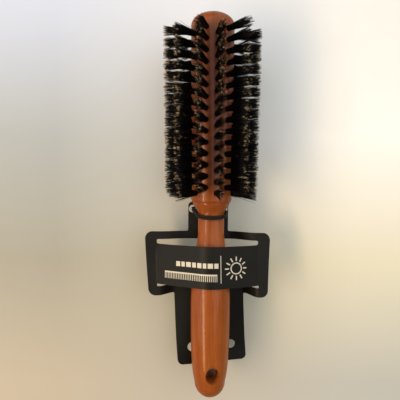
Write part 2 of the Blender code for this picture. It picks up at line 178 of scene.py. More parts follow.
def body_outline():
    """(y, radius) from the tail's tip to the middle of the domed head."""
    points = []
    for i in range(ROUND_STEPS + 1):
        angle = math.pi / 2 * i / ROUND_STEPS
        y = TAIL_END + (TAIL_ROUND_START - TAIL_END) * (1 - math.cos(angle))
        points.append((y, max(TAIL_ROUND_RADIUS * math.sin(angle), AXIS_POINT_RADIUS)))
    stations = [Vector(station) for station in reversed(HANDLE_STATIONS)]
    last = len(stations) - 1
    for i in range(last):
        around = [stations[max(i - 1, 0)], stations[i], stations[i + 1], stations[min(i + 2, last)]]
        points += [
            tuple(spline_point(*around, step / HANDLE_STEPS)) for step in range(1, HANDLE_STEPS + 1)]
    for i in range(CONE_STEPS + 1):
        share = i / CONE_STEPS
        swell = smooth_step(share) ** CONE_SWELL
        y = NECK_START + (CONE_TOP - NECK_START) * share
        points.append((y, NECK_RADIUS + (CONE_TOP_RADIUS - NECK_RADIUS) * swell))
    points += [(SCORE_Y + y, BARREL_FOOT_RADIUS - depth) for y, depth in SCORE_PROFILE]
    barrel_start = points[-1][0]
    for i in range(1, BARREL_STEPS):
        y = barrel_start + (HEAD_END - DOME_HEIGHT - barrel_start) * i / BARREL_STEPS
        points.append((y, barrel_radius(y)))
    for i in range(ROUND_STEPS + 1):
        angle = math.pi / 2 * (1 - i / ROUND_STEPS)
        y = HEAD_END - DOME_HEIGHT * (1 - math.cos(angle))
        points.append((y, max(HEAD_RADIUS * math.sin(angle), AXIS_POINT_RADIUS)))
    return points


def piece_from(name, vertices, faces, material):
    """An object drawn about the turning axis, and set down where that axis lies."""
    mesh = bpy.data.meshes.new(name)
    mesh.from_pydata(vertices, [], faces)
    mesh.validate()
    mesh.update()
    mesh.materials.append(material)
    piece = bpy.data.objects.new(name, mesh)
    piece.location = AXIS
    bpy.context.scene.collection.objects.link(piece)
    return piece


def apply_modifiers(piece):
    """Keeps the evaluated mesh, so that no modifier is left on the piece."""
    bpy.context.view_layer.update()
    evaluated = piece.evaluated_get(bpy.context.evaluated_depsgraph_get())
    mesh = bpy.data.meshes.new_from_object(evaluated)
    piece.modifiers.clear()
    piece.data = mesh


def add_node(tree, kind, inputs=None, **settings):
    """A node with its settings, and its inputs given as values or as other nodes' outputs."""
    node = tree.nodes.new(kind)
    for key, value in settings.items():
        setattr(node, key, value)
    for key, value in (inputs or {}).items():
        if isinstance(value, bpy.types.NodeSocket):
            tree.links.new(value, node.inputs[key])
        else:
            node.inputs[key].default_value = value
    return node


def new_finish(name):
    """A material, its node tree, its shader, and a place on the piece to draw patterns by."""
    material = bpy.data.materials.new(name)
    material.use_nodes = True
    tree = material.node_tree
    place = add_node(tree, "ShaderNodeTexCoord").outputs["Object"]
    return material, tree, tree.nodes["Principled BSDF"], place


def noise(tree, place, scale, detail, roughness=0.5, stretch=(1.0, 1.0, 1.0)):
    """Noise over the piece's own coordinates, which stretch multiplies along X, Y and Z."""
    mapping = add_node(tree, "ShaderNodeMapping", {"Vector": place, "Scale": stretch})
    node = add_node(tree, "ShaderNodeTexNoise", {
        "Vector": mapping.outputs[0], "Scale": scale, "Detail": detail, "Roughness": roughness})
    return node.outputs["Fac"]


def remap(tree, value, low, high, to_low, to_high):
    """Turns low to high into to_low to to_high, and holds the ends beyond them."""
    node = add_node(tree, "ShaderNodeMapRange", {
        "Value": value, "From Min": low, "From Max": high, "To Min": to_low, "To Max": to_high})
    return node.outputs["Result"]


def blend_colours(tree, share, first, second, kind="MIX"):
    """Two colours mixed by share. Each may be three numbers or another node's output."""
    node = add_node(tree, "ShaderNodeMix", data_type="RGBA", blend_type=kind)
    for socket, value in ((node.inputs[0], share), (node.inputs[6], first), (node.inputs[7], second)):
        if isinstance(value, bpy.types.NodeSocket):
            tree.links.new(value, socket)
        elif isinstance(value, tuple) and len(value) == 3:
            socket.default_value = (*value, 1.0)
        else:
            socket.default_value = value
    return node.outputs[2]


def calculate(tree, operation, first, second):
    return add_node(tree, "ShaderNodeMath", {0: first, 1: second}, operation=operation).outputs[0]


def add_bump(tree, shader, height, distance, strength):
    node = add_node(tree, "ShaderNodeBump", {
        "Height": height, "Distance": distance, "Strength": strength})
    tree.links.new(node.outputs[0], shader.inputs["Normal"])


def wood_finish():
    """Stained wood with fine lengthwise grain under a gloss coat, and painted shade on the barrel where
    the tufts stand.
    """
    material, tree, shader, place = new_finish("stained_beech")
    figure = noise(tree, place, scale=170, detail=5.0, roughness=0.6, stretch=(1.0, 0.04, 1.0))
    grain = noise(tree, place, scale=1300, detail=4.0, roughness=0.6, stretch=(1.0, 0.02, 1.0))
    flecks = noise(tree, place, scale=3000, detail=2.0, stretch=(1.0, 0.05, 1.0))
    mottle = noise(tree, place, scale=60, detail=2.0, stretch=(1.0, 0.6, 1.0))
    colour = blend_colours(tree, remap(tree, figure, 0.30, 0.70, 0.0, 1.0), WOOD_DARK, WOOD_LIGHT)
    colour = blend_colours(tree, remap(tree, grain, 0.42, 0.70, 0.0, 0.50), colour, WOOD_GRAIN)
    colour = blend_colours(tree, remap(tree, flecks, 0.62, 0.74, 0.0, 0.60), colour, WOOD_FLECK)
    colour = blend_colours(tree, remap(tree, mottle, 0.40, 0.70, 0.0, 0.30), colour, WOOD_MOTTLE)
    length = add_node(tree, "ShaderNodeSeparateXYZ", {"Vector": place}).outputs["Y"]
    # Painted shade on the barrel between the tufts: it fades in past the foot and mostly out again on the
    # dome.
    painted_shade_colour = blend_colours(tree, 1.0, colour, BARREL_PAINTED_SHADE, "MULTIPLY")
    past_foot = remap(tree, length, BARREL_FOOT, BARREL_FOOT + PAINTED_SHADE_FADE, 0.0, 1.0)
    before_dome = remap(tree, length, PAINTED_SHADE_END, HEAD_END - DOME_HEIGHT, 1.0, 0.25)
    barrel = calculate(tree, "MULTIPLY", past_foot, before_dome)
    colour = blend_colours(tree, barrel, colour, painted_shade_colour)
    tree.links.new(colour, shader.inputs["Base Color"])
    tree.links.new(remap(tree, grain, 0.3, 0.7, 0.40, 0.52), shader.inputs["Roughness"])
    shader.inputs["Specular IOR Level"].default_value = 0.03
    shader.inputs["Coat Weight"].default_value = 0.36
    shader.inputs["Coat Roughness"].default_value = 0.16
    add_bump(tree, shader, grain, 0.00005, 0.5)
    return material


def row_angle(row):
    return 2 * math.pi / ROWS * (row + 0.5) + ROW_ROLL


def row_frame(row, y):
    """Z points out of the barrel along a tuft, X along the row and Y across it."""
    angle = row_angle(row)
    out = Vector((math.sin(angle), 0.0, math.cos(angle)))
    along = Vector((0.0, 1.0, 0.0))
    turn = Matrix((along, out.cross(along), out)).transposed().to_4x4()
    return Matrix.Translation((0.0, y, 0.0)) @ turn


def tuft_stations(row):
    shift = TUFT_PITCH / 2 if row % 2 == 0 else 0.0
    return [FIRST_TUFT_Y - shift - i * TUFT_PITCH for i in range(TUFTS_PER_ROW)]


def hang_hole_cutter():
    """A drill with a flare above and below, which rounds the hole's rims."""
    upper = [(height, HANG_HOLE_RADIUS + widening) for height, widening in HANG_HOLE_FLARE]
    outline = [(-height, radius) for height, radius in reversed(upper)] + upper
    bm = bmesh.new()
    rings = []
    for height, radius in outline:
        verts = []
        for i in range(HANG_HOLE_SIDES):
            angle = 2 * math.pi * i / HANG_HOLE_SIDES
            y = radius * math.sin(angle) * HANG_HOLE_STRETCH
            verts.append(bm.verts.new((radius * math.cos(angle), y, height)))
        rings.append(verts)
    for low, high in zip(rings, rings[1:]):
        for i in range(HANG_HOLE_SIDES):
            j = (i + 1) % HANG_HOLE_SIDES
            bm.faces.new((low[i], low[j], high[j], high[i]))
    bm.faces.new(list(reversed(rings[0])))
    bm.faces.new(rings[-1])
    place = Matrix.Translation((0.0, HANG_HOLE_Y, 0.0)) @ Matrix.Rotation(HANG_HOLE_ROLL, 4, "Y")
    bmesh.ops.transform(bm, matrix=place, verts=bm.verts)
    return bm


def tuft_hole_cutter():
    """One drill for every tuft, each standing a little out of the barrel."""
    bm = bmesh.new()
    for row in range(ROWS):
        for y in tuft_stations(row):
            middle = barrel_radius(y) - TUFT_HOLE_DEPTH / 2 + DRILL_CLEARANCE / 2
            bmesh.ops.create_cone(
                bm, cap_ends=True, segments=TUFT_HOLE_SIDES,
                radius1=TUFT_HOLE_RADIUS, radius2=TUFT_HOLE_RADIUS,
                depth=TUFT_HOLE_DEPTH + DRILL_CLEARANCE,
                matrix=row_frame(row, y) @ Matrix.Translation((0, 0, middle)))
    return bm


def cut(piece, cutter_bm):
    """Cuts the drills out of the piece, and throws them away."""
    mesh = bpy.data.meshes.new("cutter")
    cutter_bm.to_mesh(mesh)
    cutter_bm.free()
    cutter = bpy.data.objects.new("cutter", mesh)
    cutter.location = piece.location
    bpy.context.scene.collection.objects.link(cutter)
    modifier = piece.modifiers.new("Cut", "BOOLEAN")
    modifier.operation = "DIFFERENCE"
    modifier.solver = "EXACT"
    modifier.object = cutter
    apply_modifiers(piece)
    bpy.data.objects.remove(cutter)


def lathe_normals(mesh, outline):
    """Gives the turned surface its true normals, so that the drilled holes don't spoil the shine."""
    too_near_axis = 0.0005
    off_surface = 0.00012
    facing_out = 0.93
    ys = np.array([y for y, radius in outline])
    radii = np.array([radius for y, radius in outline])
    slopes = np.gradient(radii, ys)
    normals = []
    for polygon in mesh.polygons:
        for index in polygon.loop_indices:
            place = mesh.vertices[mesh.loops[index].vertex_index].co
            slope = np.interp(place.y, ys, slopes)
            across = Vector((place.x, 0.0, place.z))
            if across.length < too_near_axis:
                normals.append((0.0, 0.0, 0.0))
                continue
            normal = across.normalized() - Vector((0.0, float(slope), 0.0))
            normal.normalize()
            on_surface = abs(across.length - np.interp(place.y, ys, radii)) < off_surface
            aligned = normal.dot(polygon.normal) > facing_out
            normals.append(tuple(normal) if on_surface and aligned else (0.0, 0.0, 0.0))
    mesh.normals_split_custom_set(normals)


outline = body_outline()
vertices = []
faces = []
for y, radius in outline:
    for i in range(BODY_SIDES):
        angle = 2 * math.pi * i / BODY_SIDES
        vertices.append((radius * math.sin(angle), y, radius * math.cos(angle)))
for ring in range(len(outline) - 1):
    for i in range(BODY_SIDES):
        j = (i + 1) % BODY_SIDES
        a, b = ring * BODY_SIDES, (ring + 1) * BODY_SIDES
        faces.append((a + i, b + i, b + j, a + j))
faces.append(tuple(range(BODY_SIDES)))
faces.append(tuple(range(len(vertices) - 1, len(vertices) - 1 - BODY_SIDES, -1)))
body = piece_from("wooden_body", vertices, faces, wood_finish())
cut(body, tuft_hole_cutter())
cut(body, hang_hole_cutter())
body.data.shade_smooth()
body.data.set_sharp_from_angle(angle=WOOD_EDGE_ANGLE)
lathe_normals(body.data, outline)
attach(body, "brush")
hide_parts("turned_body")

# ---- Boar bristle tufts --------------------------------------------------------------------
# Each tuft is a bunch of boar hair, folded in two and driven into its hole. The hairs are
# nearly black with bleached tan tips. They stand out of the barrel, fan out into small locks,
# and were trimmed to a round form a little wider at the head, with a few strays.
TIP_RADIUS_HEAD = 0.0301
TIP_RADIUS_FOOT = 0.0284
HAIRS_PER_TUFT = 130
HAIR_RADIUS = 0.000140
HAIR_TIP_RADIUS = 0.00007
HAIR_FOOT_DEPTH = 0.0016
HAIR_CURVE = 1.25
HAIR_RINGS = 5
HAIR_SIDES = 3
BUNCH_RADIUS = 0.00138
# how many times wider a tuft is at its tips than at the wood: along the barrel, by its head
# and by its foot, and across it
FAN_HEAD = 2.05
FAN_FOOT = 2.90
FAN_ACROSS = 1.80
LOCKS_PER_TUFT = 28
LOCKS_SPREAD = 1.15
GATHER = (0.15, 0.75)  # how far hairs are drawn to their lock
STRAY_HAIRS = 0.06  # share of all the hairs
SHORT_HAIRS = 0.12  # share of all the hairs
STRAY_SPREAD = 0.0010
TIP_SPREAD = 0.00030
TUFT_SPREAD = 0.00030
# parts of a hair's length that are missing at its tip: of the short hairs, of the others and
# of whole locks
SHORT_BY = (0.05, 0.35)
TRIM_MEAN, TRIM_SPREAD = 0.03, 0.025
LOCK_TRIM_MEAN, LOCK_TRIM_SPREAD = 0.01, 0.025
LONGEST_OVER = 0.0003
LOCK_TONE = 0.8
HAIR_TONE = 0.2
FIRST_TUFT_BENDS = {0: -0.0010, 11: -0.0024}  # the end tufts of two rows lean to the foot
ROW_LEANS = (
    0.0012, -0.0004, 0.0003, 0.0, -0.0003, 0.0004,
    0.0, 0.0003, -0.0004, 0.0005, -0.0003, 0.0003,
)
HAIR_BLACK = (0.0022, 0.0023, 0.0030)
HAIR_BROWN = (0.0070, 0.0050, 0.0038)
TIP_BROWN = (0.180, 0.120, 0.060)
TIP_TAN = (0.700, 0.550, 0.320)
BLEACHED_LENGTH = 0.07
HAIR_SEED = 20
rng = np.random.default_rng(HAIR_SEED)


def tip_radius(y):
    return between(y, FIRST_TUFT_Y, BARREL_FOOT, TIP_RADIUS_HEAD, TIP_RADIUS_FOOT)


def bristle_finish():
    """Reads each hair's own numbers: how far along it a point lies, and how pale the hair is."""
    material, tree, shader, place = new_finish("boar_bristle")
    along = add_node(tree, "ShaderNodeAttribute", attribute_name="hair_along").outputs["Fac"]
    tone = add_node(tree, "ShaderNodeAttribute", attribute_name="hair_tone").outputs["Fac"]
    patches = noise(tree, place, scale=900, detail=2.0)
    start = remap(tree, tone, 0.56, 0.84, 1.00, 0.90)
    past_start = calculate(tree, "SUBTRACT", along, start)
    bleached = remap(tree, past_start, 0.0, BLEACHED_LENGTH, 0.0, 1.0)
    root = blend_colours(tree, remap(tree, tone, 0.5, 1.0, 0.0, 1.0), HAIR_BLACK, HAIR_BROWN)
    tip = blend_colours(tree, remap(tree, patches, 0.40, 0.60, 0.0, 1.0), TIP_BROWN, TIP_TAN)
    tree.links.new(blend_colours(tree, bleached, root, tip), shader.inputs["Base Color"])
    tree.links.new(remap(tree, patches, 0.3, 0.7, 0.42, 0.60), shader.inputs["Roughness"])
    shader.inputs["Specular IOR Level"].default_value = 0.12
    return material


def bristle_row(row, material):
    """All the hairs of one row as thin three-sided tapered tubes, gathered in small locks.

    Pairs of numbers are along the barrel and across the row. Each hair goes from its root in
    the hole to its tip, in a frame with Z out of the barrel, and is then turned into its row.
    """
    hairs = TUFTS_PER_ROW * HAIRS_PER_TUFT
    stations = np.repeat(np.array(tuft_stations(row)), HAIRS_PER_TUFT)
    spin = rng.uniform(0, 2 * np.pi, hairs)
    spread = BUNCH_RADIUS * np.sqrt(rng.uniform(0, 1, hairs))
    root = np.stack([spread * np.cos(spin), spread * np.sin(spin)], axis=1)
    lock_spin = rng.uniform(0, 2 * np.pi, (TUFTS_PER_ROW, LOCKS_PER_TUFT))
    lock_spread = BUNCH_RADIUS * LOCKS_SPREAD * np.sqrt(rng.uniform(0, 1, (TUFTS_PER_ROW, LOCKS_PER_TUFT)))
    locks = np.stack([lock_spread * np.cos(lock_spin), lock_spread * np.sin(lock_spin)], axis=2)
    fan_along = [between(y, FIRST_TUFT_Y, BARREL_FOOT, FAN_HEAD, FAN_FOOT) for y in stations]
    fan = np.array([(times, FAN_ACROSS) for times in fan_along])
    locks *= fan[::HAIRS_PER_TUFT, None, :]
    tuft = np.repeat(np.arange(TUFTS_PER_ROW), HAIRS_PER_TUFT)
    lock = np.linalg.norm(locks[tuft] - (root * fan)[:, None, :], axis=2).argmin(axis=1)
    nearest = locks[tuft, lock]
    gather = rng.uniform(*GATHER, hairs)[:, None]
    stray = np.where(rng.uniform(0, 1, hairs) < STRAY_HAIRS, STRAY_SPREAD, TIP_SPREAD)[:, None]
    tip = root * fan * (1 - gather) + nearest * gather + rng.normal(0, 1, (hairs, 2)) * stray
    tip[:HAIRS_PER_TUFT, 0] += FIRST_TUFT_BENDS.get(row, 0.0)
    tip += np.repeat(rng.normal(0, TUFT_SPREAD, (TUFTS_PER_ROW, 2)), HAIRS_PER_TUFT, axis=0)
    tip[:, 1] += ROW_LEANS[row]
    surface = np.array([barrel_radius(y) for y in stations])
    trim = np.array([tip_radius(y) for y in stations])
    is_short = rng.uniform(0, 1, hairs) < SHORT_HAIRS
    short_by = rng.uniform(*SHORT_BY, hairs)
    uneven = np.where(is_short, short_by, rng.normal(TRIM_MEAN, TRIM_SPREAD, hairs))
    uneven += rng.normal(LOCK_TRIM_MEAN, LOCK_TRIM_SPREAD, (TUFTS_PER_ROW, LOCKS_PER_TUFT))[tuft, lock]
    rise = np.minimum((trim - surface) * (1.0 - uneven), trim - surface + LONGEST_OVER)
    foot = surface - HAIR_FOOT_DEPTH
    share = np.linspace(0, 1, HAIR_RINGS)[None, :]
    along = root[:, :1] + (tip - root)[:, :1] * share ** HAIR_CURVE
    across = root[:, 1:] + (tip - root)[:, 1:] * share ** HAIR_CURVE
    out = foot[:, None] + (surface - foot + rise)[:, None] * share
    thick = HAIR_RADIUS + (HAIR_TIP_RADIUS - HAIR_RADIUS) * share ** 2
    turns = spin[:, None, None] + np.arange(HAIR_SIDES)[None, None, :] * 2 * np.pi / HAIR_SIDES
    local = np.stack([
        along[:, :, None] + thick[:, :, None] * np.cos(turns),
        across[:, :, None] + thick[:, :, None] * np.sin(turns),
        np.broadcast_to(out[:, :, None], (hairs, HAIR_RINGS, HAIR_SIDES)),
    ], axis=-1).reshape(-1, 3)
    turn = np.array(row_frame(row, 0.0))
    place = local @ turn[:3, :3].T
    place[:, 1] += np.repeat(stations, HAIR_RINGS * HAIR_SIDES)
    first = (np.arange(hairs) * HAIR_RINGS * HAIR_SIDES)[:, None]
    quads = []
    for ring in range(HAIR_RINGS - 1):
        for i in range(HAIR_SIDES):
            j = (i + 1) % HAIR_SIDES
            low = ring * HAIR_SIDES
            high = low + HAIR_SIDES
            quads.append([low + i, low + j, high + j, high + i])
    quads = (first[:, :, None] + np.array(quads)[None]).reshape(-1, 4)
    top = (HAIR_RINGS - 1) * HAIR_SIDES
    caps = np.concatenate([first + np.array([[2, 1, 0]]), first + np.array([[top, top + 1, top + 2]])])
    name = "bristles_%02d" % (row + 1)
    piece = piece_from(name, place.tolist(), quads.tolist() + caps.tolist(), material)
    reach = np.broadcast_to(share, (hairs, HAIR_RINGS))[:, :, None].repeat(HAIR_SIDES, axis=2).reshape(-1)
    lock_tone = rng.uniform(0, 1, (TUFTS_PER_ROW, LOCKS_PER_TUFT))[tuft, lock]
    tone = np.repeat(lock_tone * LOCK_TONE + rng.uniform(0, HAIR_TONE, hairs), HAIR_RINGS * HAIR_SIDES)
    for label, values in (("hair_along", reach), ("hair_tone", tone)):
        layer = piece.data.attributes.new(label, "FLOAT", "POINT")
        layer.data.foreach_set("value", values.astype(np.float32))
    piece.data.shade_smooth()
    return piece


bristle_material = bristle_finish()
for row in range(ROWS):
    bristles = bristle_row(row, bristle_material)
    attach(bristles, "brush")
    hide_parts("bristle_row_%02d" % (row + 1))

# ---- Wire anchors --------------------------------------------------------------------------
# Short flat bits of drawn brass wire. Each is driven across the fold of a tuft and wedges it
# in its hole. They lie deep in the barrel, out of sight, one for each row.
WIRE_DARK = (0.55, 0.42, 0.20)
WIRE_BRIGHT = (0.68, 0.56, 0.30)


def wire_finish():
    material, tree, shader, place = new_finish("anchor_wire")
    drawn = noise(tree, place, scale=5000, detail=2.0)
    tree.links.new(blend_colours(tree, drawn, WIRE_DARK, WIRE_BRIGHT), shader.inputs["Base Color"])
    tree.links.new(remap(tree, drawn, 0.3, 0.7, 0.28, 0.45), shader.inputs["Roughness"])
    shader.inputs["Metallic"].default_value = 1.0
    return material


wire_material = wire_finish()
for row in range(ROWS):
    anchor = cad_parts["tuft_anchor_%02d" % (row + 1)]
    anchor.data.materials.clear()
    anchor.data.materials.append(wire_material)

# ---- Hang card -----------------------------------------------------------------------------
# One die-cut sheet of satin black plastic. The strip between its two slots is bowed over the
# handle, which lifts both wings, and the tongue below has two holes for display pegs.
CARD_THICKNESS = 0.0005
CARD_SHIFT = -0.0016
CARD_SKEW = 0.0039
CARD_UNDER_AXIS = 0.01285
STEM_HALF_WIDTH = 0.0130
STEM_TOP = 0.0039
STEM_CORNER = 0.0030
INNER_CORNER = 0.0010
CROSS_TOP = -0.0154
CROSS_BOTTOM = -0.0562
CROSS_HALF_WIDTH = 0.0402
CROSS_TAPER = 0.0012
CROSS_CORNER = 0.0045
TONGUE_HALF_WIDTH = 0.0228
TONGUE_BOTTOM = -0.1031
TONGUE_CORNER = 0.0035
TONGUE_TWIST = math.radians(13.0)
TWIST_SHARE = 1.1  # above 1, so that the twist is full a little before the tongue ends
UPPER_BAR_HEIGHT = 0.0050
LOWER_BAR_HEIGHT = 0.0058
UPPER_SLOT_HEIGHT = 0.0027
LOWER_SLOT_HEIGHT = 0.0018
SLOT_HALF_LENGTH = 0.0336
SLOT_CORNER = 0.35  # of a slot's height
# pairs are for the left and the right wing
UPPER_WING_LIFT = (0.0040, 0.0080)
LOWER_WING_LIFT = (0.0080, 0.0110)
UPPER_BAR_FLAT_HALF = 0.0130
LOWER_BAR_FLAT_HALF = 0.0226
WING_PULL = (0.0005, 0.0019)
STRIP_RADIUS = 0.0130
STRIP_LEAN = 0.0014
STRIP_TOP = CROSS_TOP - UPPER_BAR_HEIGHT - UPPER_SLOT_HEIGHT
STRIP_BOTTOM = CROSS_BOTTOM + LOWER_BAR_HEIGHT + LOWER_SLOT_HEIGHT
PEG_HOLE_RADIUS = 0.0031
PEG_HOLE_X = 0.01275
PEG_HOLE_Y = -0.0919
ELASTIC_HOLE_RADIUS = 0.0025
ELASTIC_HOLE_X = 0.01015
ELASTIC_HOLE_Y = -0.0009
SHEET_TOLERANCE = 0.00005
CORNER_STEPS = 10
SLOT_CORNER_STEPS = 5
CIRCLE_SIDES = 36
# (direction, first cut, last cut, spacing) of the cuts that let the flat sheet bend smoothly
BEND_CUTS = [
    ((1, 0, 0), -0.042, 0.042, 0.0011),
    ((0, 1, 0), -0.103, 0.004, 0.0035),
]
CARD_EDGE_ANGLE = math.radians(40)
CARD_BLACK = (0.0050, 0.0048, 0.0034)
CARD_CLOUDED = (0.0085, 0.0075, 0.0050)
CARD_SCUFF = (0.040, 0.034, 0.024)


def rounded_loop(corners, steps):
    """A closed outline from (x, y, corner radius) triples, with each corner as an arc."""
    points = []
    count = len(corners)
    for i in range(count):
        x, y, radius = corners[i]
        corner = Vector((x, y))
        back = (Vector(corners[i - 1][:2]) - corner).normalized()
        ahead = (Vector(corners[(i + 1) % count][:2]) - corner).normalized()
        half = back.angle(ahead) / 2
        centre = corner + (back + ahead).normalized() * radius / math.sin(half)
        start = corner + back * radius / math.tan(half) - centre
        end = corner + ahead * radius / math.tan(half) - centre
        sweep = start.angle_signed(end)
        for k in range(steps + 1):
            points.append(centre + Matrix.Rotation(-sweep * k / steps, 2) @ start)
    return points


def card_outline():
    wide = CROSS_HALF_WIDTH + CROSS_TAPER
    narrow = CROSS_HALF_WIDTH - CROSS_TAPER
    right_side = [
        (STEM_HALF_WIDTH, STEM_TOP, STEM_CORNER),
        (STEM_HALF_WIDTH, CROSS_TOP, INNER_CORNER),
        (wide, CROSS_TOP, CROSS_CORNER),
        (narrow, CROSS_BOTTOM, CROSS_CORNER),
        (TONGUE_HALF_WIDTH, CROSS_BOTTOM, INNER_CORNER),
        (TONGUE_HALF_WIDTH, TONGUE_BOTTOM, TONGUE_CORNER),
    ]
    left_side = [(-x, y, radius) for x, y, radius in reversed(right_side)]
    return rounded_loop(right_side + left_side, CORNER_STEPS)


def slot_loop(top, height):
    half, bottom, radius = SLOT_HALF_LENGTH, top - height, height * SLOT_CORNER
    corners = [(half, top, radius), (half, bottom, radius), (-half, bottom, radius), (-half, top, radius)]
    return rounded_loop(corners, SLOT_CORNER_STEPS)


def circle_loop(x, y, radius):
    turns = [2 * math.pi * i / CIRCLE_SIDES for i in range(CIRCLE_SIDES)]
    return [Vector((x + radius * math.cos(turn), y + radius * math.sin(turn))) for turn in turns]


def strip_height(reach, wing_x, wing_lift):
    """Height of the bowed strip over the card's plane: round the handle, then straight to a wing."""
    drop = CARD_UNDER_AXIS - wing_lift
    slope = math.asin(STRIP_RADIUS / math.hypot(wing_x, drop)) + math.atan2(drop, wing_x)
    if reach <= STRIP_RADIUS * math.sin(slope):
        return CARD_UNDER_AXIS + math.sqrt(STRIP_RADIUS ** 2 - reach ** 2)
    return wing_lift + max(0.0, wing_x - reach) * math.tan(slope)


def card_offset(y):
    """How far the card's middle line lies beside the turning axis: its foot swings to the right."""
    down = max(0.0, (CROSS_TOP - y) / (CROSS_TOP - TONGUE_BOTTOM))
    return CARD_SHIFT + CARD_SKEW * down ** 2


def card_place(u, y):
    """Where a point of the flat card, u beside its middle line, lies once the card is bent."""
    side = 1 if u > 0 else 0
    flat_half = between(y, CROSS_BOTTOM, CROSS_TOP, LOWER_BAR_FLAT_HALF, UPPER_BAR_FLAT_HALF)
    lift = between(y, CROSS_BOTTOM, CROSS_TOP, LOWER_WING_LIFT[side], UPPER_WING_LIFT[side])
    raised = smooth_step((abs(u) - flat_half) / (SLOT_HALF_LENGTH - flat_half))
    x = u + math.copysign(WING_PULL[side] * raised, -u) + card_offset(y)
    height = lift * raised
    if STRIP_BOTTOM - SHEET_TOLERANCE < y < STRIP_TOP + SHEET_TOLERANCE and abs(u) < SLOT_HALF_LENGTH:
        wing_x = abs(math.copysign(SLOT_HALF_LENGTH - WING_PULL[side], u) + card_offset(y))
        height = strip_height(abs(x), wing_x, lift)
        y += STRIP_LEAN * (1.0 - smooth_step(abs(x) / wing_x))
    elif y < CROSS_BOTTOM - SHEET_TOLERANCE:
        share = (CROSS_BOTTOM - y) / (CROSS_BOTTOM - TONGUE_BOTTOM)
        height = -u * math.tan(TONGUE_TWIST * smooth_step(share * TWIST_SHARE))
    return Vector((x, y, height - CARD_UNDER_AXIS))


def card_finish():
    """Satin black with a faint cloud, a fine grain and a few rubbed places."""
    material, tree, shader, place = new_finish("card_sheet")
    cloud = noise(tree, place, scale=45, detail=3.0)
    speck = noise(tree, place, scale=6000, detail=2.0)
    scuff = noise(tree, place, scale=900, detail=5.0, roughness=0.7, stretch=(1.0, 0.25, 1.0))
    colour = blend_colours(tree, remap(tree, cloud, 0.35, 0.65, 0.0, 1.0), CARD_BLACK, CARD_CLOUDED)
    colour = blend_colours(tree, remap(tree, scuff, 0.68, 0.76, 0.0, 0.18), colour, CARD_SCUFF)
    tree.links.new(colour, shader.inputs["Base Color"])
    tree.links.new(remap(tree, cloud, 0.3, 0.7, 0.44, 0.54), shader.inputs["Roughness"])
    shader.inputs["Specular IOR Level"].default_value = 0.17
    add_bump(tree, shader, speck, 0.00002, 0.4)
    return material


def card_sheet(material):
    """The flat outline filled, cut into narrow strips, bent, and given its thickness."""
    bm = bmesh.new()
    loops = [
        card_outline(),
        slot_loop(CROSS_TOP - UPPER_BAR_HEIGHT, UPPER_SLOT_HEIGHT),
        slot_loop(STRIP_BOTTOM, LOWER_SLOT_HEIGHT),
    ]
    for side in (-1, 1):
        loops.append(circle_loop(side * PEG_HOLE_X, PEG_HOLE_Y, PEG_HOLE_RADIUS))
        loops.append(circle_loop(side * ELASTIC_HOLE_X, ELASTIC_HOLE_Y, ELASTIC_HOLE_RADIUS))
    for loop in loops:
        verts = [bm.verts.new((point.x, point.y, 0.0)) for point in loop]
        for a, b in zip(verts, verts[1:] + verts[:1]):
            bm.edges.new((a, b))
    bmesh.ops.triangle_fill(bm, use_beauty=True, edges=bm.edges[:])
    for direction, low, high, step in BEND_CUTS:
        for i in range(int((high - low) / step)):
            bmesh.ops.bisect_plane(
                bm, geom=bm.verts[:] + bm.edges[:] + bm.faces[:], dist=1e-7,
                plane_co=Vector(direction) * (low + i * step), plane_no=direction)
    for vert in bm.verts:
        vert.co = card_place(vert.co.x, vert.co.y)
    bmesh.ops.recalc_face_normals(bm, faces=bm.faces)
    piece = piece_from("hang_card", [], [], material)
    bm.to_mesh(piece.data)
    bm.free()
    thick = piece.modifiers.new("Sheet", "SOLIDIFY")
    thick.thickness = CARD_THICKNESS
    thick.offset = 0.0
    thick.use_even_offset = True
    apply_modifiers(piece)
    piece.data.shade_smooth()
    piece.data.set_sharp_from_angle(angle=CARD_EDGE_ANGLE)
    return piece


card = card_sheet(card_finish())
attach(card, "card")
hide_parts("display_card")

# ---- Printing on the card ------------------------------------------------------------------
# Pale ink, screen printed on the bowed strip: a row of bold dashes, a comb, a thin rule, and
# a ring of short ticks for a round brush seen from its end.
INK_LIFT = 0.00004
INK_THICKNESS = 0.00003
INK_SLOPE_STEP = 0.0002
MARK_PIECES = 6
INK_PALE = (0.62, 0.57, 0.45)
INK_WORN = (0.36, 0.33, 0.25)
DASH_WIDTHS = (0.0026, 0.0021, 0.0030, 0.0022, 0.0025, 0.0020, 0.0031, 0.0024)
DASH_GAP = 0.0008
DASH_HEIGHT = 0.0030
DASHES_LEFT = -0.0199
DASHES_Y = -0.0359
COMB_LEFT = -0.0277
COMB_TOP = -0.0395
COMB_WIDTH = 0.0325
COMB_SPINE = 0.0009
SPINE_PIECES = 48
TEETH = 30
TOOTH_LENGTH = 0.0036
TOOTH_WIDTH = 0.0004
RULE_X = 0.0068
RULE_Y = -0.0450
RULE_WIDTH = 0.0004
RULE_LENGTH = 0.0167
RING_X = 0.0167
RING_Y = -0.0365
RING_INNER = 0.0030
RING_OUTER = 0.0037
RING_PIECES = 48
TICKS = 12
TICK_INNER = 0.0046
TICK_OUTER = 0.0072
TICK_HALF_WIDTH = 0.0004


def ink_finish():
    material, tree, shader, place = new_finish("card_ink")
    wear = noise(tree, place, scale=2600, detail=4.0, roughness=0.6)
    colour = blend_colours(tree, remap(tree, wear, 0.35, 0.75, 0.0, 0.5), INK_PALE, INK_WORN)
    tree.links.new(colour, shader.inputs["Base Color"])
    tree.links.new(remap(tree, wear, 0.3, 0.7, 0.45, 0.62), shader.inputs["Roughness"])
    return material


def ink_place(u, y, lift):
    """A point printed on the strip, lifted off the sheet along its slope."""
    before, after = card_place(u - INK_SLOPE_STEP, y), card_place(u + INK_SLOPE_STEP, y)
    normal = Vector((before.z - after.z, 0.0, after.x - before.x)).normalized()
    return card_place(u, y) + normal * (CARD_THICKNESS / 2 + lift)


